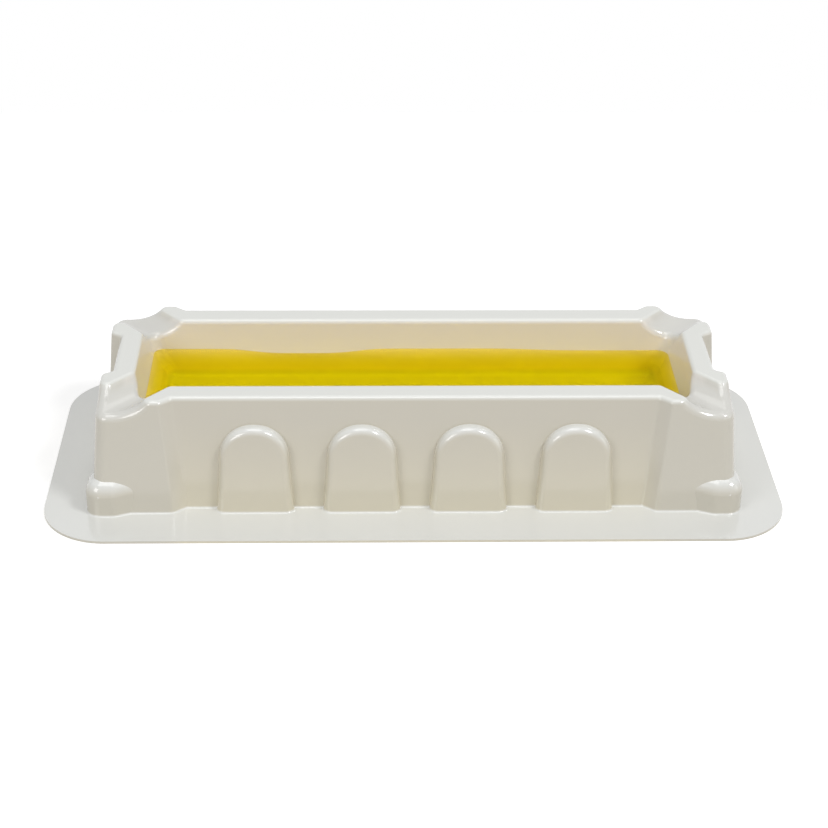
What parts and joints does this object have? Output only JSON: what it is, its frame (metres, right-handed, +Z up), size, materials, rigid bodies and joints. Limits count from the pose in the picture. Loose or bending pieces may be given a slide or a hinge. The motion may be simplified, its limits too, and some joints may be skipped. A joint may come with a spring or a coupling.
{
  "type": "reagent reservoir",
  "caption": "Long shallow trough in a moulded white plastic tray with a double wall, arch-ribbed sides, four corner pouring spouts and a flat flange, holding a yellow liquid.",
  "frame": {"origin": "middle of the flange's underside, on the surface that the reservoir stands on", "axes": "+X along the trough, +Y across it, +Z up out of the trough's mouth"},
  "size_m": [0.15, 0.066, 0.0252],
  "materials": {
    "white_sheet": "glossy, slightly translucent off-white sheet, drawn over a smooth tool",
    "yellow_liquid": "clear, saturated yellow liquid with a still, wet surface"
  },
  "bodies": {
    "root": {"reservoir": "white_sheet", "reagent": "yellow_liquid"}
  },
  "joints": []
}
